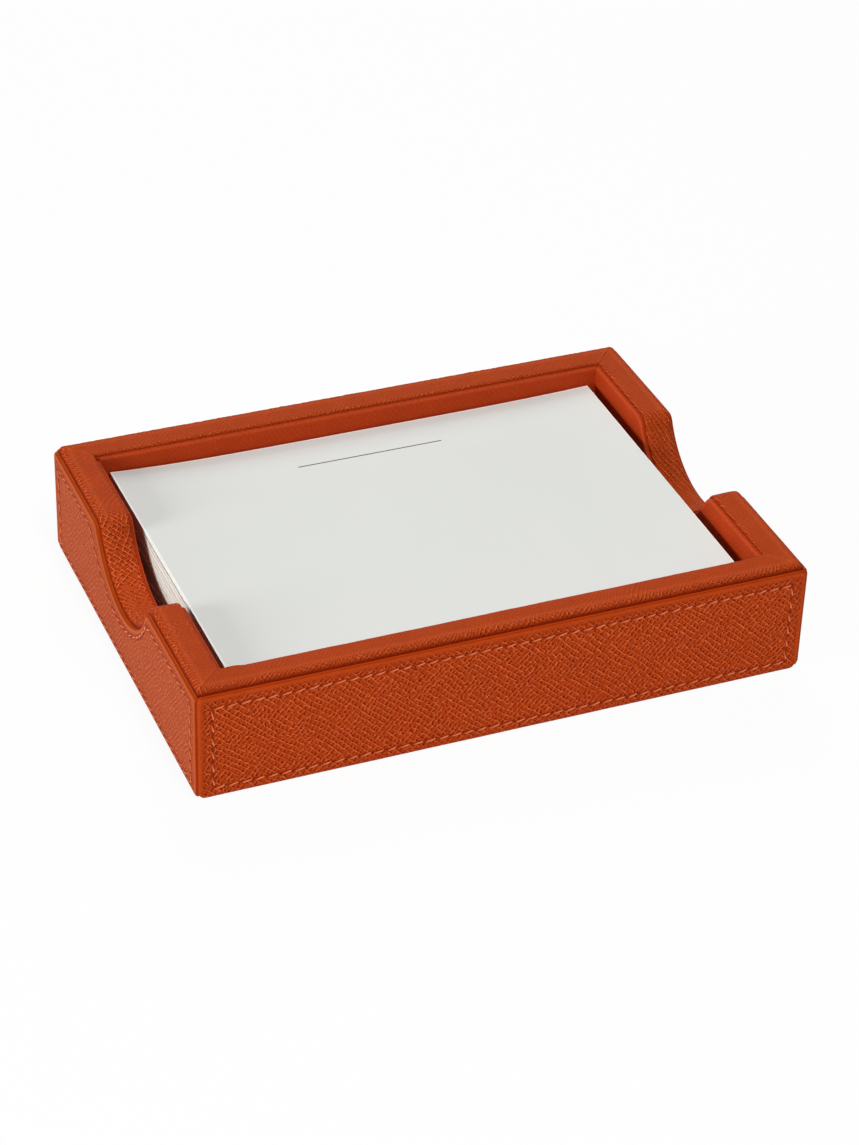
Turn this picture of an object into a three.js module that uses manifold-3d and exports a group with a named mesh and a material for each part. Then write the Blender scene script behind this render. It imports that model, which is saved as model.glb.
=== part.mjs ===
// Memo tray: a shallow open box of board, covered in stitched leather, with a thumb notch
// in each short side and a stack of loose cards in its well. Millimetres, +Z up, the origin
// in the middle of the underside, +X along the front and +Y towards the back.
import * as THREE from 'three';
import { mergeVertices } from 'three/addons/utils/BufferGeometryUtils.js';
import Module from 'manifold-3d';

const wasm = await Module();
wasm.setup();

// Cards: a common note card, about fifty to a stack
const cardWidth = 165;
const cardDepth = 114;
const cardThickness = 0.5;
const stackHeight = 26.3;
const cardGap = 0.1;

// Room left round the cards in the well, which they fill from the back
const cardSideRoom = 3.25;
const cardFrontRoom = 3.3;
const cardBackRoom = 1;

// Height of the tray, from the table to the top of the rim
const trayHeight = 38;

// Thumb notch in the left and right walls, measured on the leather of the rim
const notchDepth = 17.1;
const notchRadius = 25.3;
const notchFillet = 5.2;

// Leather and board thicknesses
const panelThickness = 1.2;
const rimThickness = 0.8;
const liningThickness = 1.2;
const coverThickness = 0.8;
const floorLiningThickness = 0.8;
const baseThickness = 3;
const glueGap = 0.1;

// Rim strip: its width over the wall, and how far the leather turns down below the notch
const rimWidth = 9.15;
const rimTurnDown = 5.5;
const rimRoll = 1.4;

// How far the rim stands above the outer panels and above the lining
const panelReveal = 1.9;
const liningReveal = 1.2;
const edgeRoll = 0.5;

// The outer panels end just above the table, and the underside cover stops inside them
const panelLift = 0.3;
const coverInset = 1.5;

// Stitching: its distance from a panel's ends, top and foot, and the channel it lies in. It
// turns past the notch in wider curves than the panel's edge, and lies off-centre to the back.
const stitchEndInset = 5.2;
const stitchTopInset = 4.2;
const stitchFootInset = 3.2;
const stitchShift = 3;
const stitchFillet = 4;
const threadWidth = 0.7;
const threadThickness = 0.4;
const channelClearance = 0.15;

// Mitres at the corners, and the overrun of every cutting solid
const mitreSeam = 0.2;
const overrun = 2;

// Counts of steps in an arc's half, in a rolled edge and in a full set of walls
const arcSteps = 5;
const rollSteps = 2;
const wallCount = 4;

// Distances in from a wall's outer face, layer by layer
const rimNear = panelThickness + glueGap;
const rimFar = rimNear + rimWidth;
const boardNear = rimNear + rimThickness + glueGap;
const boardFar = rimFar - rimThickness - glueGap;
const liningNear = rimFar + glueGap;
const liningFar = liningNear + liningThickness;

// The tray's outside: the well that holds the cards, and a wall on each side of it
const trayWidth = cardWidth + 2 * (cardSideRoom + liningFar);
const trayDepth = cardDepth + cardFrontRoom + cardBackRoom + 2 * liningFar;

// Heights, from the underside up
const baseFoot = coverThickness + glueGap;
const baseTop = baseFoot + baseThickness;
const wallFoot = baseTop + glueGap;
const floorTop = wallFoot + floorLiningThickness;
const liningFoot = floorTop + glueGap;
const rimFoot = trayHeight - notchDepth - rimTurnDown;
const stackFoot = floorTop + cardGap;
const topCardFoot = stackFoot + stackHeight + cardGap;

const leather = new THREE.MeshStandardMaterial({ color: 0xb4441a, roughness: 0.55, metalness: 0 });
const rimLeather = new THREE.MeshStandardMaterial({ color: 0xad4018, roughness: 0.5, metalness: 0 });
const liningLeather = new THREE.MeshStandardMaterial({ color: 0xa23616, roughness: 0.6, metalness: 0 });
const suede = new THREE.MeshStandardMaterial({ color: 0x8f3d20, roughness: 0.95, metalness: 0 });
const thread = new THREE.MeshStandardMaterial({ color: 0xd4714a, roughness: 0.7, metalness: 0 });
const board = new THREE.MeshStandardMaterial({ color: 0x9a8c78, roughness: 0.9, metalness: 0 });
const card = new THREE.MeshStandardMaterial({ color: 0xe2e4df, roughness: 0.8, metalness: 0 });

// A closed geometry as a solid that can be cut and joined
function solidOf(geometry) {
  geometry.deleteAttribute('normal');
  geometry.deleteAttribute('uv');
  const merged = mergeVertices(geometry);
  return new wasm.Manifold(new wasm.Mesh({
    numProp: 3,
    vertProperties: merged.getAttribute('position').array,
    triVerts: new Uint32Array(merged.getIndex().array),
  }));
}

// A finished solid as a named mesh
function meshOf(name, solid, material) {
  const result = solid.getMesh();
  const geometry = new THREE.BufferGeometry();
  geometry.setAttribute('position', new THREE.BufferAttribute(result.vertProperties, 3));
  geometry.setIndex(new THREE.BufferAttribute(result.triVerts, 1));
  const faceted = geometry.toNonIndexed();
  faceted.computeVertexNormals();
  const mesh = new THREE.Mesh(faceted, material);
  mesh.name = name;
  return mesh;
}

// A box standing on the height foot, in the middle of the tray
function slab(name, width, depth, height, foot, material) {
  const mesh = new THREE.Mesh(new THREE.BoxGeometry(width, depth, height), material);
  mesh.name = name;
  mesh.position.z = foot + height / 2;
  return mesh;
}

// Height of the centre of the notch's arc, which all layers of a wall share
const notchCentre = trayHeight - notchDepth + notchRadius;

// Adds a notch to an outline that has come along its top edge from the right: a fillet, the
// notch's arc round (centre, notchCentre) and the other fillet. Without a fillet the corner is sharp.
function traceNotch(outline, top, { centre, radius, fillet }) {
  const drop = notchCentre - top + fillet;
  const offset = Math.sqrt((radius + fillet) ** 2 - drop ** 2);
  const turn = Math.atan2(offset, drop);
  const down = -Math.PI / 2;
  const up = Math.PI / 2;
  if (fillet > 0) {
    outline.absarc(centre + offset, top - fillet, fillet, up, up + turn, false);
  }
  outline.absarc(centre, notchCentre, radius, down + turn, down - turn, true);
  if (fillet > 0) {
    outline.absarc(centre - offset, top - fillet, fillet, up - turn, up, false);
  }
}

// Side view of something on a wall, from the height foot up to top, with a notch or none
function sideView(ShapeType, halfLength, foot, top, notch) {
  const outline = new ShapeType();
  outline.moveTo(-halfLength, foot);
  outline.lineTo(halfLength, foot);
  outline.lineTo(halfLength, top);
  if (notch) {
    traceNotch(outline, top, notch);
  }
  outline.lineTo(-halfLength, top);
  outline.closePath();
  return outline;
}

// Side view of one layer of a wall. It runs parallel to the rim's leather, inset below it.
function wallOutline(wall, halfLength, foot, inset) {
  const notch = { centre: 0, radius: notchRadius + inset, fillet: Math.max(notchFillet - inset, 0) };
  return sideView(THREE.Shape, halfLength, foot, trayHeight - inset, wall.notched && notch);
}

// A layer of a wall: its side view given the thickness from near to far, both measured in
// from the wall's outer face, with its edges rolled over
function plate(outline, near, far, roll) {
  const geometry = new THREE.ExtrudeGeometry(outline, {
    depth: far - near - 2 * roll,
    curveSegments: arcSteps,
    bevelEnabled: roll > 0,
    bevelThickness: roll,
    bevelSize: roll,
    bevelOffset: -roll,
    bevelSegments: rollSteps,
  });
  geometry.rotateX(Math.PI / 2);
  geometry.translate(0, far - roll, 0);
  return solidOf(geometry);
}

// The space that a wall's layer may fill between its two corner mitres
function mitreSpace(length, near, far, foot, top) {
  const reach = (inward) => length / 2 - inward - mitreSeam;
  const plan = new THREE.Shape([
    new THREE.Vector2(-reach(near), near),
    new THREE.Vector2(reach(near), near),
    new THREE.Vector2(reach(far), far),
    new THREE.Vector2(-reach(far), far),
  ]);
  const geometry = new THREE.ExtrudeGeometry(plan, { depth: top - foot, bevelEnabled: false });
  geometry.translate(0, 0, foot);
  return solidOf(geometry);
}

// Wall board: full thickness below the rim's leather, and thinner where the leather wraps it
function wallBoard(wall) {
  const halfLength = wall.notched ? wall.length / 2 - rimFar - glueGap : wall.length / 2 - boardNear;
  const footHalfLength = wall.notched ? halfLength : wall.length / 2 - rimNear;
  const core = wallOutline(wall, halfLength, wallFoot, rimThickness + glueGap);
  const foot = new THREE.Shape([
    new THREE.Vector2(-footHalfLength, wallFoot),
    new THREE.Vector2(footHalfLength, wallFoot),
    new THREE.Vector2(footHalfLength, rimFoot - glueGap),
    new THREE.Vector2(-footHalfLength, rimFoot - glueGap),
  ]);
  return plate(core, boardNear, boardFar, 0).add(plate(foot, rimNear, rimFar, 0));
}

// Rim strip: one piece of leather folded over the wall's top, with rolled edges, mitred
function rimStrip(wall) {
  const long = wall.length / 2 + overrun;
  const outside = wallOutline(wall, long, rimFoot - overrun, 0);
  const inside = wallOutline(wall, long + overrun, rimFoot - 2 * overrun, rimThickness);
  const space = mitreSpace(wall.length, rimNear - overrun, rimFar + overrun, rimFoot, trayHeight + overrun);
  const folded = plate(outside, rimNear, rimFar, rimRoll).intersect(space);
  return folded.subtract(plate(inside, rimNear + rimThickness, rimFar - rimThickness, 0));
}

// One edge of the line of stitches on a wall's panel: the line itself moved out by the offset
function stitchEdge(ShapeType, wall, offset) {
  const inset = panelReveal + stitchTopInset;
  const halfLength = wall.length / 2 - stitchEndInset + offset;
  const foot = panelLift + stitchFootInset - offset;
  const notch = {
    centre: wall.towardsBack * stitchShift,
    radius: notchRadius + inset - offset,
    fillet: stitchFillet + offset,
  };
  return sideView(ShapeType, halfLength, foot, trayHeight - inset + offset, wall.notched && notch);
}

// The band of a panel's face that its stitching follows, widened by grow on both sides
function stitchBand(wall, grow) {
  const half = threadWidth / 2 + grow;
  const band = stitchEdge(THREE.Shape, wall, half);
  band.holes.push(stitchEdge(THREE.Path, wall, -half));
  return band;
}

// Outer panel: leather with rolled edges, mitred at the corners, with a pressed-in channel
function outerPanel(wall) {
  const outline = wallOutline(wall, wall.length / 2, panelLift, panelReveal);
  const space = mitreSpace(wall.length, -overrun, panelThickness + overrun, -overrun, trayHeight);
  const channel = plate(stitchBand(wall, channelClearance), -overrun, threadThickness + glueGap, 0);
  return plate(outline, 0, panelThickness, edgeRoll).intersect(space).subtract(channel);
}

// Lining of one side of the well, standing on the floor lining, mitred at the corners
function wallLining(wall) {
  const outline = wallOutline(wall, wall.length / 2, liningFoot, liningReveal);
  const space = mitreSpace(wall.length, liningNear - overrun, liningFar + overrun, 0, trayHeight);
  return plate(outline, liningNear, liningFar, edgeRoll).intersect(space);
}

// The five layers of one wall, made along +X with the outer face on its own plane y = 0
function wallGroup(wall) {
  const group = new THREE.Group();
  group.add(
    meshOf(`${wall.name}_wall_board`, wallBoard(wall), board),
    meshOf(`${wall.name}_rim_strip`, rimStrip(wall), rimLeather),
    meshOf(`${wall.name}_outer_panel`, outerPanel(wall), leather),
    meshOf(`${wall.name}_stitching`, plate(stitchBand(wall, 0), 0, threadThickness, 0), thread),
    meshOf(`${wall.name}_lining`, wallLining(wall), liningLeather),
  );
  for (const layer of group.children) {
    layer.position.y = -wall.outward;
  }
  return group;
}

const frontWall = { name: 'front', notched: false, length: trayWidth, outward: trayDepth / 2 };
const rightWall = {
  name: 'right',
  notched: true,
  length: trayDepth,
  outward: trayWidth / 2,
  towardsBack: 1,
};
const leftWall = { ...rightWall, name: 'left', towardsBack: -1 };
const walls = [frontWall, rightWall, { ...frontWall, name: 'back' }, leftWall];

const memoTray = new THREE.Group();

// Bottom: the base board between the outer panels, its soft cover, and the floor of the well
memoTray.add(
  slab('underside_cover', trayWidth - 2 * coverInset, trayDepth - 2 * coverInset, coverThickness, 0, suede),
  slab('base_board', trayWidth - 2 * rimNear, trayDepth - 2 * rimNear, baseThickness, baseFoot, board),
  slab(
    'floor_lining',
    trayWidth - 2 * liningNear,
    trayDepth - 2 * liningNear,
    floorLiningThickness,
    wallFoot,
    liningLeather,
  ),
);

// The four walls, each a quarter turn from the last
walls.forEach((wall, index) => {
  const group = wallGroup(wall);
  group.rotation.z = (index / wallCount) * 2 * Math.PI;
  memoTray.add(group);
});

// Cards: the stack on the floor lining, and the top card, which lifts off by itself
const cardStack = slab('card_stack', cardWidth, cardDepth, stackHeight, stackFoot, card);
const topCard = slab('top_card', cardWidth, cardDepth, cardThickness, topCardFoot, card);
for (const cards of [cardStack, topCard]) {
  cards.position.y = (cardFrontRoom - cardBackRoom) / 2;
  memoTray.add(cards);
}

export default memoTray;
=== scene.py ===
import math
import random

import bmesh
import bpy
from mathutils import Matrix, Vector, kdtree, noise


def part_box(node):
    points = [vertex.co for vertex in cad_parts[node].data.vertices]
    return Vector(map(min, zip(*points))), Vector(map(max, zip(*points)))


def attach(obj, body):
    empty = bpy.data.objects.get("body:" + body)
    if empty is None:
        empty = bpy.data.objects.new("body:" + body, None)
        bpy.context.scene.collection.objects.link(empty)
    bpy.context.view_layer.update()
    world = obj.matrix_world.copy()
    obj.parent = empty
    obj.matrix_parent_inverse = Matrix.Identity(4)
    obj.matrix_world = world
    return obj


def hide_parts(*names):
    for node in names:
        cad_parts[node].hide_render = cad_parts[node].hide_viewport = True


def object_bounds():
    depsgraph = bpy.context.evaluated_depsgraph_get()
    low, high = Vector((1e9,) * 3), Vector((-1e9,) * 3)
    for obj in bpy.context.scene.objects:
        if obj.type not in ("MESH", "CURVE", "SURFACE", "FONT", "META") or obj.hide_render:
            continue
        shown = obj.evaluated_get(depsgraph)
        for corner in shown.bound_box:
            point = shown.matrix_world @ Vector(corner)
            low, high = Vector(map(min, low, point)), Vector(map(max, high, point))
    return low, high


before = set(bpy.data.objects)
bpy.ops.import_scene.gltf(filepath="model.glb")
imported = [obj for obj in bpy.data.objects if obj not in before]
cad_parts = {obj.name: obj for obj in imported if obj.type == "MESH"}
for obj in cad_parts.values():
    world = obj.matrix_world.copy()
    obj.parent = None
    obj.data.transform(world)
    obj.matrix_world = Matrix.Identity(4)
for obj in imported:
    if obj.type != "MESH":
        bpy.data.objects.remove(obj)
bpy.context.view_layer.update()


# BOARDS
# Four wall boards and a base board of grey binder's board, cut with a knife and glued into a box.
# The leather hides them on all sides. They keep the shapes of the part.
def add(tree, kind, inputs=None, **settings):
    """A new node with its settings, each input given a value or joined to another node's output."""
    node = tree.nodes.new(kind)
    for setting, value in settings.items():
        setattr(node, setting, value)
    for key, value in (inputs or {}).items():
        if isinstance(value, bpy.types.NodeSocket):
            tree.links.new(value, node.inputs[key])
        else:
            node.inputs[key].default_value = value
    return node


def math_node(tree, operation, first, second=0.0, third=0.0, clamp=False):
    return add(tree, "ShaderNodeMath", {0: first, 1: second, 2: third}, operation=operation,
               use_clamp=clamp).outputs[0]


def mix_colour(tree, share, first, second):
    node = add(tree, "ShaderNodeMix", {"Factor": share, 6: first, 7: second}, data_type="RGBA")
    return node.outputs[2]


def noise_of(tree, place, scale, detail=2.0, dimensions="3D"):
    return add(tree, "ShaderNodeTexNoise", {"Vector": place, "Scale": scale, "Detail": detail},
               noise_dimensions=dimensions)


def new_finish(name, roughness, specular=0.5):
    material = bpy.data.materials.new(name)
    material.use_nodes = True
    surface = material.node_tree.nodes["Principled BSDF"]
    surface.inputs["Roughness"].default_value = roughness
    surface.inputs["Specular IOR Level"].default_value = specular
    return material, material.node_tree, surface


def paint(tree, surface, colour, height, relief, roughness=None):
    """Joins a finish's colour, its relief in metres and its roughness to the surface."""
    tree.links.new(colour, surface.inputs["Base Color"])
    bump = add(tree, "ShaderNodeBump", {"Height": height, "Distance": relief, "Strength": 1.0})
    tree.links.new(bump.outputs[0], surface.inputs["Normal"])
    if roughness is not None:
        tree.links.new(roughness, surface.inputs["Roughness"])


board_finish, tree, surface = new_finish("binders_board", 0.9)
place = add(tree, "ShaderNodeTexCoord").outputs["Object"]
fibre = noise_of(tree, place, 900.0, 4.0).outputs[0]
blotch = noise_of(tree, place, 60.0).outputs[0]
colour = mix_colour(tree, blotch, (0.30, 0.25, 0.18, 1), (0.38, 0.32, 0.24, 1))
paint(tree, surface, colour, fibre, 0.00015)
SIDES = ("front", "right", "back", "left")
for node_name in ["base_board"] + [side + "_wall_board" for side in SIDES]:
    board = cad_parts[node_name]
    board.data.materials.clear()
    board.data.materials.append(board_finish)


# UNDERSIDE COVER
# A sheet of soft suede glued under the base so that the tray doesn't mark a desk.
# It is cut with a knife, and its edge has rounded over a little.
MM = 0.001
CREASE = math.radians(40)
ROLL_LINES = [1 - math.cos(math.radians(18 * step)) for step in range(6)]
SHEET_WAVE = 17


def in_millimetres(corners):
    return [Vector(corner) / MM for corner in corners]


def stations(low, high, roll, pitch, slope=lambda place: 0.0):
    """Places for a grid's lines from low to high, close together over an edge rolled at each end
    and along a slope."""
    rolled = [roll * share for share in ROLL_LINES] if roll else [0]
    middle = [low + rolled[-1]]
    while middle[-1] < high - rolled[-1]:
        middle.append(middle[-1] + pitch / math.hypot(1, slope(middle[-1])))
    fit = (high - low - 2 * rolled[-1]) / (middle[-1] - middle[0])
    middle = [middle[0] + (place - middle[0]) * fit for place in middle]
    ends = rolled[:-1]
    return [low + rise for rise in ends] + middle + [high - rise for rise in reversed(ends)]


def finish_piece(bm, name, material, body, node):
    """Turns a mesh worked in millimetres into a piece of the frame, in metres."""
    bmesh.ops.scale(bm, vec=(MM, MM, MM), verts=bm.verts)
    bmesh.ops.recalc_face_normals(bm, faces=bm.faces)
    for face in bm.faces:
        face.smooth = True
    for edge in bm.edges:
        edge.smooth = edge.calc_face_angle(0) < CREASE
    mesh = bpy.data.meshes.new(name)
    bm.to_mesh(mesh)
    bm.free()
    mesh.materials.append(material)
    piece = bpy.data.objects.new(name, mesh)
    bpy.context.scene.collection.objects.link(piece)
    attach(piece, body)
    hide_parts(node)
    return piece


def grid_of(columns, rows):
    """A flat grid with a line at each of the given places, its vertices row by row."""
    bm = bmesh.new()
    bmesh.ops.create_grid(bm, x_segments=len(columns) - 1, y_segments=len(rows) - 1, size=1)
    bm.verts.ensure_lookup_table()
    for index, vert in enumerate(bm.verts):
        vert.co = (columns[index % len(columns)], rows[index // len(columns)], 0)
    return bm


def close_back(bm, put_back):
    """Walls in a sheet's open edge, moves each new vertex with put_back, and fills the back."""
    rim = [edge for edge in bm.edges if edge.is_boundary]
    for vert in bmesh.ops.extrude_edge_only(bm, edges=rim)["geom"]:
        if isinstance(vert, bmesh.types.BMVert):
            put_back(vert)
    bmesh.ops.holes_fill(bm, edges=[edge for edge in bm.edges if edge.is_boundary], sides=0)


def soft_sheet(node, roll, corner, pitch, sway, seed):
    """A thin sheet with softly rounded edges, round corners and a slightly uneven face, lying in a
    node's box."""
    low, high = in_millimetres(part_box(node))
    bm = grid_of(stations(low.x, high.x, corner, pitch), stations(low.y, high.y, corner, pitch))
    for vert in bm.verts:
        x, y = vert.co.x, vert.co.y
        a = max(0, 1 - min(x - low.x, high.x - x) / corner)
        b = max(0, 1 - min(y - low.y, high.y - y) / corner)
        pull = 1 - max(a, b) / math.hypot(a, b) if a and b else 0
        vert.co.x -= math.copysign(corner * a * pull, x)
        vert.co.y -= math.copysign(corner * b * pull, y)
        inside = corner * (1 - max(a, b))
        fall = roll - math.sqrt(max(roll ** 2 - max(roll - inside, 0) ** 2, 0))
        wave = noise.noise(Vector((x / SHEET_WAVE, y / SHEET_WAVE, seed)))
        vert.co.z = high.z - fall - sway * (1 + wave) / 2

    def put_back(vert):
        vert.co.z = low.z

    close_back(bm, put_back)
    return bm


suede_finish, tree, surface = new_finish("suede", 0.95, 0.2)
place = add(tree, "ShaderNodeTexCoord").outputs["Object"]
nap = noise_of(tree, place, 2600.0, 3.0).outputs[0]
stroke = noise_of(tree, place, 45.0, 3.0).outputs[0]
colour = mix_colour(tree, stroke, (0.24, 0.030, 0.008, 1), (0.34, 0.052, 0.016, 1))
paint(tree, surface, colour, nap, 0.0002)
surface.inputs["Sheen Weight"].default_value = 0.25
surface.inputs["Sheen Roughness"].default_value = 0.6
cover = soft_sheet("underside_cover", roll=0.35, corner=3.5, pitch=2.0, sway=0.05, seed=3)
# The sheet is turned over: its even face is the one glued to the base.
low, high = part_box("underside_cover")
for vert in cover.verts:
    vert.co.z = (low.z + high.z) / MM - vert.co.z
finish_piece(cover, "suede_underside", suede_finish, "tray", "underside_cover")


# FLOOR LINING
# A thin smooth leather sheet glued on the base board inside the well, under the cards.
# It is the same skin as the walls' linings.
# The paler leather colour, also used for painted highlights, and the darker dye colour, also used
# for painted shade.
PALE_DYE_AND_HIGHLIGHT = (0.80, 0.160, 0.045, 1)
SHADE_AND_DARK_DYE = (0.24, 0.014, 0.0015, 1)
MASKS = ("press", "rub_and_highlight", "painted_shade")


def remap(tree, value, low, high, to_low=0.0, to_high=1.0, kind="LINEAR"):
    return add(tree, "ShaderNodeMapRange", {"Value": value, "From Min": low, "From Max": high,
                                            "To Min": to_low, "To Max": to_high},
               interpolation_type=kind).outputs[0]


def leather_grain():
    """The pressed cross grain of the leather: fine raised lines with staggered cross lines between
    them, in two directions that give way to each other over the hide. A darker band runs along one
    side of each line, partly darker dye and partly painted shade on the side turned from the light.
    Lean brings more of the second direction, Wander and Waver say how far the lines bend slowly and
    quickly, and Cross how strong the cross lines are."""
    group = bpy.data.node_groups.new("cross_grain", "ShaderNodeTree")
    group.interface.new_socket("Place", in_out="INPUT", socket_type="NodeSocketVector")
    for socket, start in (("Lean", 0.5), ("Wander", 1.0), ("Waver", 0.9), ("Cross", 1.0)):
        made = group.interface.new_socket(socket, in_out="INPUT", socket_type="NodeSocketFloat")
        made.default_value = start
    for socket in ("Ridge", "Shade_beside", "Height"):
        group.interface.new_socket(socket, in_out="OUTPUT", socket_type="NodeSocketFloat")
    given = group.nodes.new("NodeGroupInput").outputs
    result = group.nodes.new("NodeGroupOutput").inputs

    def vector_math(operation, first, second, socket=1):
        return add(group, "ShaderNodeVectorMath", {0: first, socket: second},
                   operation=operation).outputs[0]

    def moved(place, scale, reach):
        """Places pushed about by a soft noise, up to half of reach each way."""
        push = noise_of(group, place, scale, 1.0, "2D").outputs["Color"]
        centred = vector_math("SUBTRACT", push, (0.5, 0.5, 0.5))
        return vector_math("ADD", place, vector_math("SCALE", centred, reach, "Scale"))

    def from_line(cells, size):
        """How far a point lies past the nearest line between cells, or below 0 before it."""
        within = math_node(group, "FRACT", math_node(group, "ADD", cells, 0.5))
        return math_node(group, "MULTIPLY_ADD", within, size, -size / 2)

    def line(distance, middle, width):
        away = math_node(group, "ABSOLUTE", math_node(group, "SUBTRACT", distance, middle))
        return remap(group, away, 0.0, width, 1.0, 0.0, "SMOOTHSTEP")

    slow = math_node(group, "MULTIPLY", given["Wander"], 4.5)
    flow = moved(moved(given["Place"], 0.04, slow), 0.55, given["Waver"])
    nets = []
    # Each direction has its turn in degrees, its cells' width and height in millimetres, and the
    # side of a line that gets the darker dye and painted shade.
    for turn, width, height, shaded_side in ((47, 1.75, 1.4, -1), (-42, 1.45, 1.65, 1)):
        turned = add(group, "ShaderNodeMapping",
                     {"Vector": flow, "Rotation": (0, 0, math.radians(-turn))})
        split = add(group, "ShaderNodeSeparateXYZ", {0: turned.outputs[0]}).outputs
        rows = math_node(group, "MULTIPLY", split[1], 1 / height)
        row = add(group, "ShaderNodeTexWhiteNoise", {"W": math_node(group, "FLOOR", rows)},
                  noise_dimensions="1D").outputs[0]
        cells = math_node(group, "ADD", math_node(group, "MULTIPLY", split[0], 1 / width),
                          math_node(group, "MULTIPLY", row, 7.0))
        past_row, past_joint = from_line(rows, height), from_line(cells, width)
        # The fine line, the band of darker dye and painted shade beside it and the wider swelling
        # under it have their middles, their spread and how strong their cross lines are.
        for row_middle, joint_middle, spread, joined in (
                (0, 0, 0.25, 0.65), (0.38 * shaded_side, 0.38, 0.30, 0.65), (0, 0, 0.55, 0.6)):
            strength = math_node(group, "MULTIPLY", given["Cross"], joined)
            joint = math_node(group, "MULTIPLY", line(past_joint, joint_middle, spread), strength)
            nets.append(math_node(group, "MAXIMUM", line(past_row, row_middle, spread), joint))
    region = noise_of(group, given["Place"], 0.13, 1.0, "2D").outputs[0]
    leaning = math_node(group, "ADD", region, math_node(group, "SUBTRACT", given["Lean"], 0.5))
    share = remap(group, leaning, 0.45, 0.55, kind="SMOOTHSTEP")
    net, beside, wide = (add(group, "ShaderNodeMix", {0: share, 2: nets[kind], 3: nets[kind + 3]},
                             data_type="FLOAT").outputs[0] for kind in (0, 1, 2))
    press = noise_of(group, given["Place"], 0.75, 2.0, "2D").outputs[0]
    pressed = remap(group, press, 0.38, 0.60, 0.15, 1.3)
    fine = noise_of(group, given["Place"], 3.2, 2.0, "2D").outputs[0]
    uneven = remap(group, fine, 0.3, 0.7, 0.4, 1.4)
    ridge = math_node(group, "MULTIPLY", net, pressed)
    # The band beside each line: partly darker dye, partly painted shade on the side turned from the
    # light.
    dye_and_shade_line = math_node(group, "SUBTRACT", beside, net, clamp=True)
    dye_and_shade = math_node(group, "MULTIPLY", math_node(group, "MULTIPLY", dye_and_shade_line, pressed), uneven)
    raised = math_node(group, "MULTIPLY", wide, pressed)
    height = math_node(group, "ADD", raised, math_node(group, "MULTIPLY", fine, 0.35))
    for socket, value in (("Ridge", ridge), ("Shade_beside", dye_and_shade), ("Height", height)):
        group.links.new(value, result[socket])
    return group


CROSS_GRAIN = leather_grain()


def leather_finish(name, base, relief, roughness, **grain_inputs):
    """Dyed leather. The piece's own attributes say where the cross grain is pressed in, where a
    rolled edge is rubbed paler and carries a painted highlight, and where painted shade darkens it."""
    material, tree, surface = new_finish(name, roughness, 0.02)
    place = add(tree, "ShaderNodeUVMap", uv_map="hide").outputs[0]
    grain = add(tree, "ShaderNodeGroup", {"Place": place, **grain_inputs},
                node_tree=CROSS_GRAIN).outputs
    press, rub_and_highlight, painted_shade = (add(tree, "ShaderNodeAttribute", attribute_name=mask).outputs["Fac"]
                           for mask in MASKS)
    cloud = noise_of(tree, place, 0.11, 3.0, "2D").outputs[0]
    deeper, paler = ([part * share for part in base] + [1] for share in (0.90, 1.10))
    colour = mix_colour(tree, cloud, deeper, paler)
    # Painted highlight, with some rubbing, on rolled edges, beads and folds.
    colour = mix_colour(tree, math_node(tree, "MULTIPLY", rub_and_highlight, 0.3), colour, PALE_DYE_AND_HIGHLIGHT)
    # Painted shade, with some darker dye, along one side of each grain line.
    dye_and_shade = math_node(tree, "MULTIPLY", grain["Shade_beside"], press)
    dye_and_shade = math_node(tree, "MULTIPLY", dye_and_shade, 1.9, clamp=True)
    colour = mix_colour(tree, dye_and_shade, colour, SHADE_AND_DARK_DYE)
    # The grain's raised lines are painted paler: partly paler leather, partly a painted highlight.
    ridge = math_node(tree, "MULTIPLY", grain["Ridge"], press, clamp=True)
    colour = mix_colour(tree, ridge, colour, PALE_DYE_AND_HIGHLIGHT)
    # Painted shade in stitch grooves, needle holes, creases, folds, on the rim's turned-down sides
    # and low on the linings.
    painted_shade = math_node(tree, "MULTIPLY", painted_shade, 0.8, clamp=True)
    colour = mix_colour(tree, painted_shade, colour, SHADE_AND_DARK_DYE)
    pores = noise_of(tree, place, 4.0, 3.0, "2D").outputs[0]
    height = math_node(tree, "ADD", math_node(tree, "MULTIPLY", grain["Height"], press),
                       math_node(tree, "MULTIPLY", pores, 0.2))
    gloss = math_node(tree, "MULTIPLY", grain["Ridge"], -0.08)
    paint(tree, surface, colour, height, relief, math_node(tree, "ADD", roughness, gloss))
    return material


def lay_hide(bm, start, rise):
    """Gives the mesh the map that the leather's grain follows, in millimetres: along x from a
    start, and along the axis numbered rise."""
    hide = bm.loops.layers.uv.new("hide")
    for face in bm.faces:
        for corner in face.loops:
            corner[hide].uv = (corner.vert.co.x + start, corner.vert.co[rise])


def mask_layers(bm):
    return [bm.verts.layers.float.new(mask) for mask in MASKS]


lining_finish = leather_finish("lining_leather", (0.45, 0.046, 0.009), 0.00006, 0.5)
floor = soft_sheet("floor_lining", roll=0.25, corner=0.8, pitch=3.0, sway=0.12, seed=8)
press = mask_layers(floor)[0]
for vert in floor.verts:
    vert[press] = 0.15
lay_hide(floor, 900, 1)
finish_piece(floor, "floor_leather", lining_finish, "tray", "floor_lining")


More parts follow.
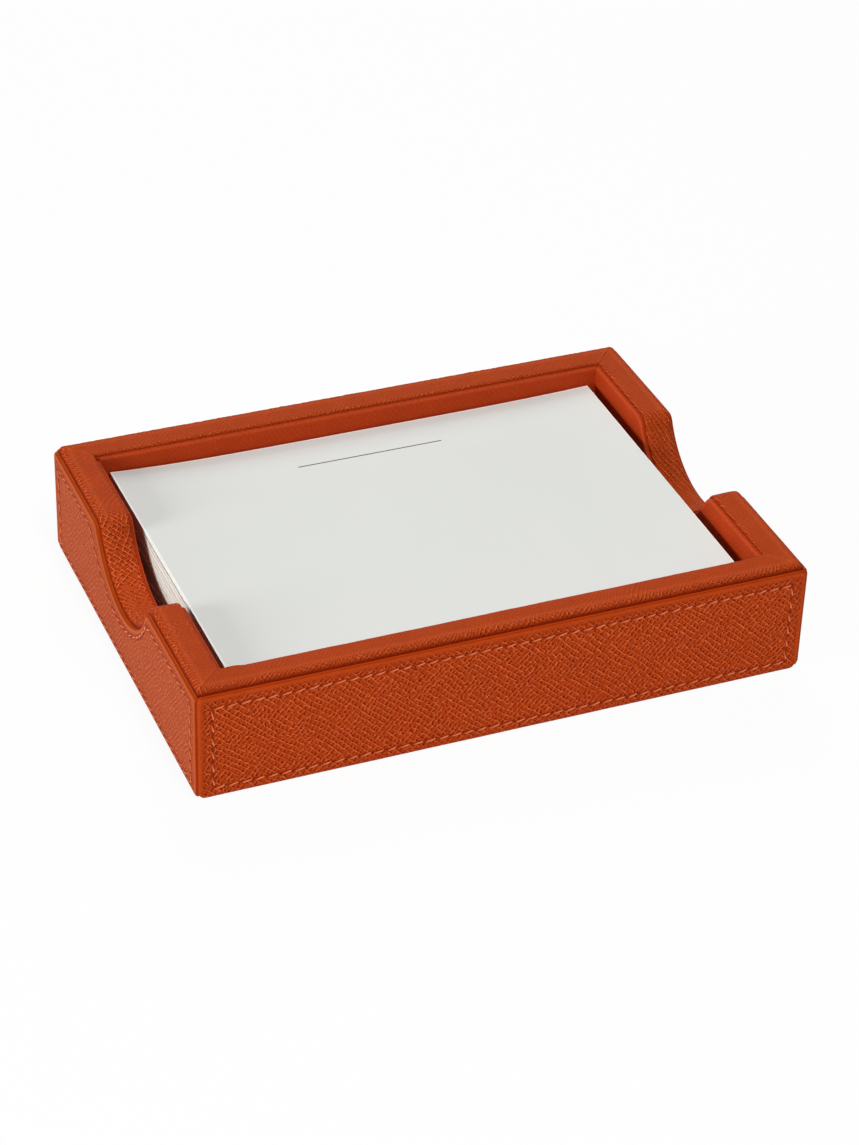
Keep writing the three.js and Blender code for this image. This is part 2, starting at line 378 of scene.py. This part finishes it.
# WALL LININGS
# A smooth leather covered board lines each side of the well, glued to the wall. Its top edge is a
# soft roll a little below the rim, lower in front and at the left, and follows the thumb notches.
low, high = in_millimetres(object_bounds())
HALF_WIDTH, HALF_DEPTH, TRAY_HEIGHT = high.x, high.y, high.z
NOTCH_CENTRE = 46.2
RIM_RADIUS, RIM_FILLET = 25.3, 5.2
WALLS = {"front": (0, HALF_DEPTH, HALF_WIDTH), "right": (1, HALF_WIDTH, HALF_DEPTH),
         "back": (2, HALF_DEPTH, HALF_WIDTH), "left": (3, HALF_WIDTH, HALF_DEPTH)}
FACE_PITCH, FACE_ROWS, END_GAP, CLOSED_BACK = 0.45, 74, 0.04, 0.1
LINING_FACE, LINING_THICKNESS, LINING_FOOT, LINING_ROLL = 11.95, 1.4, 4.9, 0.75
LINING_DROP = {"front": 1.8, "right": 0.8, "back": 0.8, "left": 1.5}
LINING_PRESS, LINING_SWAY = 0.12, 0.05
# Painted shade on the linings' backs and low down in the well, and the height over which it fades.
SHADE_BEHIND, SHADE_FOOT, SHADE_HEIGHT = 0.6, 0.55, 20


def top_edge(side, top, radius, fillet):
    """The top edge of something on a wall: its height at a place along the wall, and how far below
    the edge a point lies. On the short sides it dips through the notch."""
    notched = side in ("left", "right")
    drop = NOTCH_CENTRE - top + fillet
    bend = math.sqrt((radius + fillet) ** 2 - drop ** 2) if notched else 0
    touch = bend * radius / (radius + fillet)

    def height(x):
        x = abs(x)
        if x >= bend:
            return top
        if x > touch:
            return top - fillet + math.sqrt(fillet ** 2 - (bend - x) ** 2)
        return NOTCH_CENTRE - math.sqrt(radius ** 2 - x ** 2)

    def below(x, z):
        x = abs(x)
        if x >= bend:
            return top - z
        if x * drop > bend * (NOTCH_CENTRE - z):
            return fillet - math.hypot(bend - x, z - top + fillet)
        return math.hypot(x, NOTCH_CENTRE - z) - radius

    return height, below


def slope_of(height, x):
    return (height(x + 0.01) - height(x - 0.01)) / 0.02


def hump(distance, width):
    """1 at no distance, and softly down to nothing on both sides."""
    return math.exp(-(distance / width) ** 2)


def held(share):
    return max(0, min(1, share))


def wall_plate(half_length, foot, edge, thickness, roll, foot_roll, corners, mitre):
    """A leather covered plate seen from its face, which lies at y = 0, with rolled edges and round
    corners below and above. Each vertex keeps how far it is from the nearest edge. foot_roll is the
    height and depth of the roll at the foot, and mitre how much longer the back is."""
    height, below = edge
    inner = mitre > 0
    end = half_length if inner else half_length - roll - END_GAP
    columns = stations(-end, end, 0 if inner else roll, FACE_PITCH, lambda x: slope_of(height, x))
    rows = stations(0, 1, 0, 1 / FACE_ROWS)
    rolled = [roll * share for share in ROLL_LINES]
    bm = grid_of(columns, rolled + rows[1:-1] + rolled)
    margin = bm.verts.layers.float.new("margin")
    count = len(rolled) * 2 + len(rows) - 2
    for index, vert in enumerate(bm.verts):
        x, row = columns[index % len(columns)], index // len(columns)
        top = height(x)
        stretch = math.hypot(1, slope_of(height, x))
        if row < len(rolled):
            z = foot + foot_roll[0] * ROLL_LINES[row]
        elif row >= count - len(rolled):
            z = top - rolled[count - 1 - row] * stretch
        else:
            first, last = foot + foot_roll[0], top - roll * stretch
            z = first + (last - first) * rows[row - len(rolled) + 1]
        lower = z < (foot + top) / 2
        corner = corners[0] if lower else corners[1]
        edge_gap = min(z - foot, below(x, z))
        end_gap = math.inf if inner else end - abs(x)
        gap, tuck = max(min(edge_gap, end_gap), 0), 0
        at_foot = float(lower and edge_gap <= end_gap)
        if edge_gap < corner and end_gap < corner:
            a, b = 1 - end_gap / corner, 1 - edge_gap / corner
            pull = max(a, b) / max(math.hypot(a, b), 1e-6)
            tuck = corner * a * (1 - pull)
            x -= math.copysign(tuck, x)
            z += corner * b * (1 - pull) * (1 if lower else -1)
            gap = max(corner * (1 - max(a, b)), 0)
            tuck *= a
            at_foot = lower * b * b / (a * a + b * b)
        vert[margin] = gap
        reach, depth = (roll + (size - roll) * at_foot for size in foot_roll)
        vert.co = (x, tuck + depth * (1 - math.sqrt(1 - max(1 - gap / reach, 0) ** 2)), z)

    def put_back(vert):
        vert.co.y = max(thickness, vert.co.y + CLOSED_BACK)
        if not inner:
            back = half_length - vert.co.y - END_GAP
            vert.co.x = max(-back, min(back, vert.co.x))
        elif abs(vert.co.x) > end - 0.01:
            vert.co.x = math.copysign(half_length + mitre - END_GAP, vert.co.x)

    close_back(bm, put_back)
    return bm, margin


def stand_on_wall(bm, side):
    """Moves something made along x, with its outside at y = 0, to its wall."""
    turn, outward = WALLS[side][:2]
    to_wall = Matrix.Translation((0, -outward, 0))
    bmesh.ops.transform(bm, matrix=Matrix.Rotation(math.radians(90 * turn), 4, "Z") @ to_wall,
                        verts=bm.verts)


for number, side in enumerate(SIDES):
    drop = LINING_DROP[side]
    edge = top_edge(side, TRAY_HEIGHT - drop, RIM_RADIUS + drop, RIM_FILLET - drop)
    bm, margin = wall_plate(WALLS[side][2] - LINING_FACE, LINING_FOOT, edge, LINING_THICKNESS,
                            LINING_ROLL, (LINING_ROLL, LINING_ROLL), (0, 0), LINING_THICKNESS)
    press, rub_and_highlight, painted_shade = mask_layers(bm)
    for vert in bm.verts:
        # Painted highlight on the top roll; painted shade on the back and towards the foot.
        vert[rub_and_highlight] = 0.4 * hump(vert[margin] - 0.5, 0.5)
        behind = held((vert.co.y - 0.4) / 0.3)
        low_down = held(1 - (vert.co.z - LINING_FOOT) / SHADE_HEIGHT)
        vert[painted_shade] = max(SHADE_BEHIND * behind, SHADE_FOOT * low_down)
        vert[press] = LINING_PRESS
        wave = noise.noise(Vector((vert.co.x / 15, vert.co.z / 11, number * 7)))
        vert.co.y += LINING_SWAY * wave
    lay_hide(bm, 300 * number + 40, 2)
    for vert in bm.verts:
        vert.co.y = LINING_FACE - vert.co.y
    stand_on_wall(bm, side)
    finish_piece(bm, side + "_lining_leather", lining_finish, "tray",
                 side + "_lining")


# RIM STRIPS
# A strip of the cross-grained leather folded over the top of each wall and turned down on both
# sides, down through the thumb notch on the short sides, with a folded mitre at each corner. The
# front strip has sunk a little along its inner edge.
RIM_NEAR, RIM_FAR, RIM_LEATHER, TURN_DOWN = 1.3, 10.45, 0.8, 4.2
OUTER_ROLL, INNER_ROLL, CROWN = 1.3, 0.7, 0.15
PLAN_CORNER, MITRE_GAP, MITRE_STRETCH = 1.0, 0.02, 20
INNER_SAG = {"front": 0.45, "right": 0, "back": 0, "left": 0}
SAG_FADE, SAG_TILT = 6, 0.3
RIM_SWAY, SWAY_WAVE = 0.10, (9, 5)
LUMP_SIZE, LUMP_WAVE = 0.10, (1.6, 1.1)
FOLD_LENGTH, FOLD_RISE, FOLD_CRINKLE, CRINKLE_WAVE = 1.5, 0.22, 0.16, (0.9, 1.8)
SEAM_LENGTH, SEAM_DEPTH = 0.35, 0.16
UPPER_PART, TOP_PART = -2, -1
NOTCH_REACH = 32
RIM_DYE = (0.40, 0.047, 0.006)
RIM_GRAIN_MAP = {"front": (1.35, 0), "right": (1.2, -62), "back": (1.35, 0), "left": (1.05, 0)}
RIM_GRAIN = {"front": (0.45, 0.4, 1), "right": (0.8, 0.65, 0.4), "back": (0.45, 0.4, 1),
             "left": (0.45, 0.4, 1)}


def rim_profile():
    """The strip's section: distance in from the wall's outside, and height above the wall's top."""
    section = [(RIM_NEAR, h) for h in (-TURN_DOWN, -3.2, -2.6, -2.2, -1.8)]
    for step in range(9):
        turn = math.radians(90 * step / 8)
        section.append((RIM_NEAR + OUTER_ROLL * (1 - math.cos(turn)),
                        OUTER_ROLL * (math.sin(turn) - 1)))
    first, last = RIM_NEAR + OUTER_ROLL, RIM_FAR - INNER_ROLL
    for step in range(1, 17):
        section.append((first + (last - first) * (step / 17), 0.0))
    for step in range(7):
        turn = math.radians(90 * step / 6)
        section.append((last + INNER_ROLL * math.sin(turn), INNER_ROLL * (math.cos(turn) - 1)))
    return section + [(RIM_FAR, h) for h in (-1.8, -3.0, -TURN_DOWN)]


def running_length(points):
    """How far along a line each of its points lies."""
    run = [0.0]
    for (x, z), (next_x, next_z) in zip(points, points[1:]):
        run.append(run[-1] + math.hypot(next_x - x, next_z - z))
    return run


def rim_strip(side, number):
    """A wall's strip along x: a grid over its section, moved into its notch, mitres and folds."""
    half_length = WALLS[side][2]
    height = top_edge(side, TRAY_HEIGHT, RIM_RADIUS, RIM_FILLET)[0]
    section = rim_profile()
    lengths = running_length(section)
    columns = stations(-half_length, half_length, 1.6, 0.5, lambda x: slope_of(height, x))
    bm = grid_of(columns, lengths)
    hide = bm.verts.layers.float_vector.new("hide_place")
    press, rub_and_highlight, painted_shade = mask_layers(bm)
    straight = half_length - MITRE_STRETCH
    run = running_length([(x, height(x)) for x in columns])

    def uneven(wave, seed):
        return noise.noise(Vector((run[column] / wave[0], lengths[row] / wave[1], number * seed)))

    for index, vert in enumerate(bm.verts):
        column, row = index % len(columns), index // len(columns)
        x, (y, h) = columns[column], section[row]
        slope = slope_of(height, x)
        length = math.hypot(1, slope)
        end = half_length - abs(x)
        inward = held((y - RIM_NEAR) / (RIM_FAR - RIM_NEAR))
        on_top = 1 - abs(2 * inward - 1) ** 3
        sag = INNER_SAG[side] * inward ** 3 * (1 - SAG_TILT * x / half_length)
        sag *= held((end - RIM_FAR) / SAG_FADE)
        h += CROWN * on_top - sag if h > UPPER_PART else 0
        h += RIM_SWAY * uneven(SWAY_WAVE, 5) * (h > UPPER_PART)
        outer = hump(lengths[row] - TURN_DOWN + 0.3, 1.3)
        inner = hump(y - RIM_FAR + 0.4, 0.5) * (h > TOP_PART)
        lump = LUMP_SIZE * outer * uneven(LUMP_WAVE, 9)
        fold = hump(end, FOLD_LENGTH) * held((y - RIM_NEAR) / 2) * (h > TOP_PART)
        h += fold * (FOLD_RISE + FOLD_CRINKLE * uneven(CRINKLE_WAVE, 3))
        h -= SEAM_DEPTH * max(0, 1 - end / SEAM_LENGTH) ** 2 if h > UPPER_PART else 0
        reach = max(0.0, PLAN_CORNER - end)
        tuck = PLAN_CORNER - math.sqrt(max(PLAN_CORNER ** 2 - reach ** 2, 0))
        y += min(tuck, 0.293 * PLAN_CORNER) * max(0, 1 - (y - RIM_NEAR) / 4)
        if abs(x) > straight:
            stretch = (half_length - y - MITRE_GAP - straight) / MITRE_STRETCH
            x = math.copysign(straight + (abs(x) - straight) * stretch, x)
        vert[hide] = (run[column], lengths[row], 0)
        up = Vector((-slope / length, 0, 1 / length))
        vert.co = Vector((x, y, height(x))) + up * (h + lump * (y > RIM_NEAR + 0.2))
        vert.co.y -= lump * (y < RIM_NEAR + 1)
        notch = min(1, 2.2 * abs(slope) / length) * (abs(x) < NOTCH_REACH)
        vert[press] = min(1, 0.2 + 0.75 * outer + 0.6 * inner + 0.8 * notch)
        # Painted highlight just inside the outer roll and on the corner folds; painted shade on the
        # turned-down sides and in the mitre seams.
        vert[rub_and_highlight] = 0.5 * hump(lengths[row] - TURN_DOWN - 1.9, 0.7) + 0.5 * fold
        vert[painted_shade] = min(1, held((-h - 0.15) / 1.1) + 0.3 * hump(end - 0.05, 0.2))
    bmesh.ops.solidify(bm, geom=bm.faces[:], thickness=RIM_LEATHER)
    layer = bm.loops.layers.uv.new("hide")
    scale, turn = RIM_GRAIN_MAP[side]
    turned = scale * Matrix.Rotation(math.radians(turn), 2)
    for face in bm.faces:
        for corner in face.loops:
            corner[layer].uv = turned @ corner.vert[hide].xy + Vector((500 + 260 * number, 0))
    return bm


for number, side in enumerate(SIDES):
    lean, waver, cross = RIM_GRAIN[side]
    rim_finish = leather_finish(side + "_rim_leather", RIM_DYE, 0.00025, 0.5, Lean=lean,
                                Wander=1.6, Waver=waver, Cross=cross)
    bm = rim_strip(side, number)
    stand_on_wall(bm, side)
    finish_piece(bm, side + "_rim_leather", rim_finish, "tray",
                 side + "_rim_strip")


# OUTER PANELS
# Cross-grained leather over thin board on each outer face, turned in at its edges, so that a soft
# bead runs round it. The corners meet in a fine groove, and a line of stitching sinks in all round.
PANEL_FOOT, PANEL_DROP, PANEL_THICKNESS, PANEL_ROLL = 0.05, 1.9, 1.2, 0.62
FOOT_ROLL = (2.4, 1.0)
PANEL_CORNERS = (2.4, 1.4)
STITCH_END, STITCH_TOP = 5.2, 31.9
STITCH_FOOT = {"front": 3.5, "right": 2.7, "back": 3.5, "left": 2.7}
STITCH_RADIUS, STITCH_FILLET, STITCH_SHIFT = 31.4, 4.0, {"left": -3.0, "right": 3.0}
LEVEL_PITCH, UPRIGHT_PITCH = 4.07, 4.4
GROOVE_WIDTH, GROOVE_DEPTH = 0.55, 0.20
PRICK_WIDTH, PRICK_DEPTH = 0.42, 0.20
BEAD_PLACE, BEAD_WIDTH, BEAD_RISE = 0.85, 0.45, 0.04
VALLEY_PLACE, VALLEY_WIDTH, VALLEY_DEPTH = 2.1, 0.7, 0.03
PANEL_SWAY = 0.05
# The same leather on every side, each a shade apart to suit how the lamps light it: painted light
# and shade, darkest on the left under the low lamp.
PANEL_DYE_AND_SHADE = {"front": (0.50, 0.054, 0.005), "right": (0.47, 0.052, 0.005),
             "back": (0.47, 0.052, 0.005), "left": (0.37, 0.054, 0.005)}
PANEL_LEAN = {"front": 0.56, "right": 0.5, "back": 0.55, "left": 0.55}
GRAIN_DEPTH = {"front": 1.0, "right": 0.9, "back": 0.9, "left": 0.6}
# How strong the bead's painted highlight is on each side.
BEAD_RUB_AND_HIGHLIGHT = {"front": 0.5, "right": 0.5, "back": 0.5, "left": 1.3}
STITCH_SHADE = {"front": (0.75, 0.4), "right": (0.75, 0.4), "back": (0.75, 0.4),
                "left": (0.95, 0.75)}


def stitch_lines(side):
    """The four runs of stitching on a panel, each as close points (x, z) and its stitch pitch."""
    end = WALLS[side][2] - STITCH_END
    shift = STITCH_SHIFT.get(side, 0)
    height = top_edge(side, STITCH_TOP, STITCH_RADIUS, STITCH_FILLET)[0]
    count = int(2 * end / 0.1)
    across = [-end + 2 * end * step / count for step in range(count + 1)]
    foot = STITCH_FOOT[side]
    climb = [foot + (STITCH_TOP - foot) * step / 280 for step in range(281)]
    return (([(x, foot) for x in across], LEVEL_PITCH),
            ([(end, z) for z in climb], UPRIGHT_PITCH),
            ([(x, height(x - shift)) for x in across], LEVEL_PITCH),
            ([(-end, z) for z in climb], UPRIGHT_PITCH))


def holes_along(points, pitch):
    """Evenly spaced needle holes along a run, with one at each end."""
    run = running_length(points)
    count = round(run[-1] / pitch)
    holes, step = [], 0
    for number in range(count + 1):
        while run[step] < run[-1] * number / count - 1e-6:
            step += 1
        holes.append(points[step])
    return holes


def tree_of(points):
    tree = kdtree.KDTree(len(points))
    for index, (x, z) in enumerate(points):
        tree.insert((x, z, 0), index)
    tree.balance()
    return tree


for number, side in enumerate(SIDES):
    edge = top_edge(side, TRAY_HEIGHT - PANEL_DROP, RIM_RADIUS + PANEL_DROP,
                    RIM_FILLET - PANEL_DROP)
    bm, margin = wall_plate(WALLS[side][2], PANEL_FOOT, edge, PANEL_THICKNESS, PANEL_ROLL,
                            FOOT_ROLL, PANEL_CORNERS, -PANEL_THICKNESS)
    press, rub_and_highlight, painted_shade = mask_layers(bm)
    lines = stitch_lines(side)
    shade, spread = STITCH_SHADE[side]
    seam = tree_of([point for points, pitch in lines for point in points])
    needle = tree_of([hole for points, pitch in lines for hole in holes_along(points, pitch)])
    for vert in bm.verts:
        flat = Vector((vert.co.x, vert.co.z, 0))
        gap = vert[margin]
        if gap == 0:
            continue
        groove = hump(seam.find(flat)[2], GROOVE_WIDTH)
        # A painted shadow beside each stitch line.
        shaded = shade * hump(seam.find(flat - Vector((0.15, 0.35, 0)))[2], spread)
        prick = hump(needle.find(flat)[2], PRICK_WIDTH)
        turned_in = max(0.15, min(1, (vert.co.z - PANEL_FOOT - gap) / 2))
        bead = turned_in * hump(gap - BEAD_PLACE, BEAD_WIDTH)
        valley = turned_in * hump(gap - VALLEY_PLACE, VALLEY_WIDTH)
        swell = noise.noise(Vector((flat.x / 16, flat.y / 12, number * 11)))
        vert.co.y += (GROOVE_DEPTH * groove + PRICK_DEPTH * prick - BEAD_RISE * bead
                      + VALLEY_DEPTH * valley + PANEL_SWAY * swell)
        vert[press] = GRAIN_DEPTH[side] * min(1, max(0.1, 1 - turned_in, (gap - 0.9) / 1.6))
        # Painted highlight on the bead; painted shade in stitches, needle holes, the valley and the
        # creases at the edges.
        vert[rub_and_highlight] = BEAD_RUB_AND_HIGHLIGHT[side] * bead
        vert[painted_shade] = min(1, shaded + 0.8 * prick + 0.25 * valley + max(0, 1 - gap / 0.3))
    lay_hide(bm, 320 * number, 2)
    stand_on_wall(bm, side)
    panel_finish = leather_finish(side + "_panel_leather", PANEL_DYE_AND_SHADE[side], 0.00010, 0.48,
                                  Lean=PANEL_LEAN[side], Wander=0.6)
    finish_piece(bm, side + "_panel_leather", panel_finish, "tray",
                 side + "_outer_panel")


# STITCHING
# Waxed thread, a shade paler and pinker than the leather, sewn by hand so that each stitch slants.
# Every stitch arches out of one needle hole and dives into the next.
THREAD, STITCH_LENGTH, SLANT = 0.24, 3.4, math.radians(12.5)
THREAD_HEIGHT, STITCH_DIVE = 0.02, 0.42


def one_stitch():
    """One stitch along x, in the panel's plane x and z: a short twisted thread bent to an arch."""
    bm = bmesh.new()
    bmesh.ops.create_cone(bm, cap_ends=True, segments=7, radius1=THREAD, radius2=THREAD, depth=2,
                          matrix=Matrix.Rotation(math.radians(90), 4, "Y"))
    long_edges = [edge for edge in bm.edges
                  if abs(edge.verts[0].co.x - edge.verts[1].co.x) > 1]
    bmesh.ops.subdivide_edges(bm, edges=long_edges, cuts=6)
    length = bm.verts.layers.float.new("length")
    for vert in bm.verts:
        at = vert.co.x
        twist = Matrix.Rotation(at * 1.6, 3, "X")
        ring = twist @ Vector((0, vert.co.y * 0.82, vert.co.z * 1.1))
        taper = 1 - 0.5 * at ** 4
        vert[length] = at
        vert.co = (at * STITCH_LENGTH / 2, ring.y * taper - THREAD_HEIGHT + STITCH_DIVE * at ** 4,
                   ring.z * taper)
    mesh = bpy.data.meshes.new("one_stitch")
    bm.to_mesh(mesh)
    bm.free()
    return mesh


thread_finish, tree, surface = new_finish("waxed_thread", 0.55, 0.1)
reach = add(tree, "ShaderNodeAttribute", attribute_name="length").outputs["Fac"]
place = add(tree, "ShaderNodeTexCoord").outputs["Object"]
uneven = noise_of(tree, place, 700.0, 2.0).outputs[0]
# Painted highlight: each stitch is darker at one end and brighter at the other.
lit = remap(tree, math_node(tree, "ADD", reach, uneven), -0.3, 1.4)
colour = mix_colour(tree, lit, (0.55, 0.10, 0.030, 1), (0.92, 0.28, 0.11, 1))
strands = noise_of(tree, place, 3000.0, 1.0).outputs[0]
paint(tree, surface, colour, strands, 0.00005)
stitch_mesh = one_stitch()
hand = random.Random(5)
for side in SIDES:
    bm = bmesh.new()
    for points, pitch in stitch_lines(side):
        holes = holes_along(points, pitch)
        for (x, z), (next_x, next_z) in zip(holes, holes[1:]):
            first = len(bm.verts)
            bm.from_mesh(stitch_mesh)
            bm.verts.ensure_lookup_table()
            angle = math.atan2(next_z - z, next_x - x)
            if angle > math.radians(89):
                angle -= math.pi
            lean = angle + SLANT + math.radians(hand.uniform(-3.5, 3.5))
            depth = 0.03 + hand.uniform(-0.03, 0.03)
            place = (Matrix.Translation(((x + next_x) / 2, depth, (z + next_z) / 2))
                     @ Matrix.Rotation(-lean, 4, "Y")
                     @ Matrix.Diagonal((hand.uniform(0.92, 1.05), 1, 1, 1)))
            bmesh.ops.transform(bm, matrix=place, verts=bm.verts[first:])
    stand_on_wall(bm, side)
    finish_piece(bm, side + "_stitches", thread_finish, "tray", side + "_stitching")


# CARD STACK
# About fifty loose note cards, squared up by hand so that no two lie quite alike. The higher they
# lie, the more they have curled up, most of all at their left end.
CARD_PITCH, CARD_PAPER, STACK_CURL, STACK_NUDGE = 0.523, 0.5, 1.7, 0.22
CURL_ROOM = 0.9
LEFT_TILT, RIGHT_CURL, RIGHT_TILT = 0.12, 0.3, 0.22


def card_paper(name, roughness, shadow):
    """White card with a slight cloud in it: its material, the place that its nodes read, its fibre
    and its colour."""
    finish, tree, surface = new_finish(name, roughness, 0.1)
    place = add(tree, "ShaderNodeTexCoord").outputs["Object"]
    fibre = noise_of(tree, place, 1500.0, 4.0).outputs[0]
    cloud = noise_of(tree, place, 25.0, 2.0).outputs[0]
    colour = mix_colour(tree, cloud, shadow, (0.765, 0.775, 0.745, 1))
    return finish, tree, surface, place, fibre, colour


def lay_card(bm, low, high, rest, curl, nudge):
    """Adds one card between two corners, resting at a height. Its left end has curled up, and its
    right end less, most at the back."""
    first = len(bm.verts)
    bmesh.ops.create_grid(bm, x_segments=24, y_segments=4, size=1)
    bm.verts.ensure_lookup_table()
    sheet = bm.verts[first:]
    middle = (low + high) / 2
    for vert in sheet:
        x, y = vert.co.x, vert.co.y
        rise = 1 - LEFT_TILT * y if x < 0 else RIGHT_CURL + RIGHT_TILT * y
        vert.co = (middle.x + x * (high.x - low.x) / 2 + nudge[0],
                   middle.y + y * (high.y - low.y) / 2 + nudge[1],
                   rest + CARD_PAPER + curl * x ** 4 * rise)
    faces = list({face for vert in sheet for face in vert.link_faces})
    bmesh.ops.solidify(bm, geom=faces, thickness=CARD_PAPER)


def show_cut_edges(piece):
    """Gives the upright faces of cards the paper of their edges, painted paler than the faces."""
    piece.data.materials.append(lit_edge_paper)
    for polygon in piece.data.polygons:
        polygon.material_index = int(abs(polygon.normal.z) < 0.7)


# The cards' edges: cream paper, painted brighter than the faces to stand for light on the stack's
# side.
lit_edge_paper, tree, surface = new_finish("card_edges", 0.9, 0.0)
place = add(tree, "ShaderNodeTexCoord").outputs["Object"]
fibre = noise_of(tree, place, 1200.0, 4.0).outputs[0]
colour = mix_colour(tree, fibre, (0.90, 0.915, 0.83, 1), (0.96, 0.97, 0.91, 1))
paint(tree, surface, colour, fibre, 0.00004)
card_finish, tree, surface, place, fibre, colour = card_paper("card_paper", 0.75,
                                                              (0.735, 0.745, 0.715, 1))
paint(tree, surface, colour, fibre, 0.00002)
low, high = in_millimetres(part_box("card_stack"))
count = int((high.z - low.z - CURL_ROOM) / CARD_PITCH)
hand = random.Random(12)
bm = bmesh.new()
for number in range(count):
    lay_card(bm, low, high, low.z + number * CARD_PITCH, STACK_CURL * (number / count) ** 1.5,
             (hand.uniform(-STACK_NUDGE, STACK_NUDGE), hand.uniform(-STACK_NUDGE, STACK_NUDGE)))
show_cut_edges(finish_piece(bm, "cards", card_finish, "card_stack", "card_stack"))


# TOP CARD
# The loose card on top, thick white paper with a thin rule printed near its back edge.
# It has curled a little more than the ones under it.
RULE_MIDDLE, RULE_LENGTH, RULE_WIDTH = (-0.0004, 0.0436), 0.049, 0.0005
EDGE_HIGHLIGHT = 0.0004
TOP_CURL, TOP_CURL_ROOM, TOP_NUDGE = 1.8, 1.3, (-0.25, 0)
low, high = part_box("top_card")
middle, half = (low + high) / 2, (high - low) / 2
top_finish, tree, surface, place, fibre, colour = card_paper("printed_card", 0.7,
                                                             (0.735, 0.75, 0.72, 1))
split = add(tree, "ShaderNodeSeparateXYZ", {0: place}).outputs


def away_from(axis, place):
    """How far a point lies from a place along an axis."""
    return math_node(tree, "ABSOLUTE", math_node(tree, "SUBTRACT", split[axis], place))


beside, beyond = (away_from(axis, RULE_MIDDLE[axis]) for axis in (0, 1))
printed = math_node(tree, "MULTIPLY", math_node(tree, "LESS_THAN", beside, RULE_LENGTH / 2),
                    math_node(tree, "LESS_THAN", beyond, RULE_WIDTH / 2))
ink = math_node(tree, "MULTIPLY", printed, 0.9)
colour = mix_colour(tree, ink, colour, (0.035, 0.035, 0.04, 1))
# A painted highlight along the card's edges.
from_edge = math_node(tree, "MINIMUM", *(
    math_node(tree, "SUBTRACT", half[axis], away_from(axis, middle[axis])) for axis in (0, 1)))
edge_highlight = math_node(tree, "LESS_THAN", from_edge, EDGE_HIGHLIGHT)
paint(tree, surface, mix_colour(tree, edge_highlight, colour, (0.93, 0.92, 0.89, 1)), fibre, 0.00002)
low, high = low / MM, high / MM
bm = bmesh.new()
lay_card(bm, low, high, high.z - CARD_PAPER - TOP_CURL_ROOM, TOP_CURL, TOP_NUDGE)
show_cut_edges(finish_piece(bm, "upper_card", top_finish, "top_card", "top_card"))


# STUDIO
# A pale floor, a low soft lamp from the left, a long narrow one above the front and a weaker one
# behind. The floor and the surroundings show white to the camera and in gloss, and the floor keeps
# a shadow.
FLOOR_REACH, FLOOR_WHITE, SKY = 4.0, 0.93, 0.05


def seen_directly(tree):
    """1 for what the camera sees, straight or by gloss or through glass, and 0 for other light."""
    ray = add(tree, "ShaderNodeLightPath").outputs
    return math_node(tree, "MAXIMUM", ray["Is Camera Ray"],
                     math_node(tree, "MAXIMUM", ray["Is Glossy Ray"], ray["Is Transmission Ray"]))


ground = bmesh.new()
bmesh.ops.create_grid(ground, x_segments=1, y_segments=1, size=FLOOR_REACH)
floor_mesh = bpy.data.meshes.new("studio_floor")
ground.to_mesh(floor_mesh)
ground.free()
studio_floor = bpy.data.objects.new("studio_floor", floor_mesh)
bpy.context.scene.collection.objects.link(studio_floor)
floor_finish, tree, surface = new_finish("studio_floor", 0.9, 0.0)
surface.inputs["Base Color"].default_value = (0.9, 0.9, 0.9, 1)
glow = add(tree, "ShaderNodeEmission", {"Color": (1, 1, 1, 1), "Strength": 1.0})
share = math_node(tree, "MULTIPLY", seen_directly(tree), FLOOR_WHITE)
blend = add(tree, "ShaderNodeMixShader", {0: share, 1: surface.outputs[0], 2: glow.outputs[0]})
tree.links.new(blend.outputs[0], tree.nodes["Material Output"].inputs["Surface"])
floor_mesh.materials.append(floor_finish)

world = bpy.data.worlds.new("studio")
bpy.context.scene.world = world
world.use_nodes = True
tree = world.node_tree
sky = tree.nodes["Background"]
sky.inputs["Color"].default_value = (1, 1, 1, 1)
tree.links.new(math_node(tree, "MULTIPLY_ADD", seen_directly(tree), 1 - SKY, SKY),
               sky.inputs["Strength"])
for name, power, size, spot in (("side", 15.4, (0.6, 0.5), (-1.44, -0.30, 0.42)),
                                ("top", 13.8, (0.25, 1.0), (0.0, -0.62, 1.38)),
                                ("fill", 9.5, (0.8, 1.0), (0.35, 1.15, 1.05))):
    lamp = bpy.data.lights.new(name, "AREA")
    lamp.energy = power
    lamp.shape = "RECTANGLE"
    lamp.size, lamp.size_y = size
    lamp_stand = bpy.data.objects.new(name, lamp)
    bpy.context.scene.collection.objects.link(lamp_stand)
    lamp_stand.location = spot
    lamp_stand.rotation_euler = lamp_stand.location.to_track_quat("Z", "Y").to_euler()

# The camera stands to the left in front of the tray and looks down on it.
# Its turns are in radians, and its place relative to the tray's middle is along its own axes.
AZIMUTH, ELEVATION, ROLL = -0.40082, 0.59642, 0.03333
CAMERA_PLACE = Vector((3.1528, 10.21844, 1004.277)) * MM
FOCAL_LENGTH = 100.17
camera_data = bpy.data.cameras.new("camera")
camera = bpy.data.objects.new("camera", camera_data)
bpy.context.scene.collection.objects.link(camera)
bpy.context.scene.camera = camera
back = Vector((math.sin(AZIMUTH) * math.cos(ELEVATION), -math.cos(AZIMUTH) * math.cos(ELEVATION),
               math.sin(ELEVATION)))
across = Vector((math.cos(AZIMUTH), math.sin(AZIMUTH), 0))
turned = Matrix.Rotation(ROLL, 3, back)
axes = Matrix((turned @ across, turned @ back.cross(across), back)).transposed()
camera.matrix_world = Matrix.Translation(axes @ CAMERA_PLACE) @ axes.to_4x4()
camera_data.sensor_width = 36
camera_data.lens = FOCAL_LENGTH
camera_data.clip_start = 0.01

bpy.context.scene.view_settings.view_transform = "Standard"
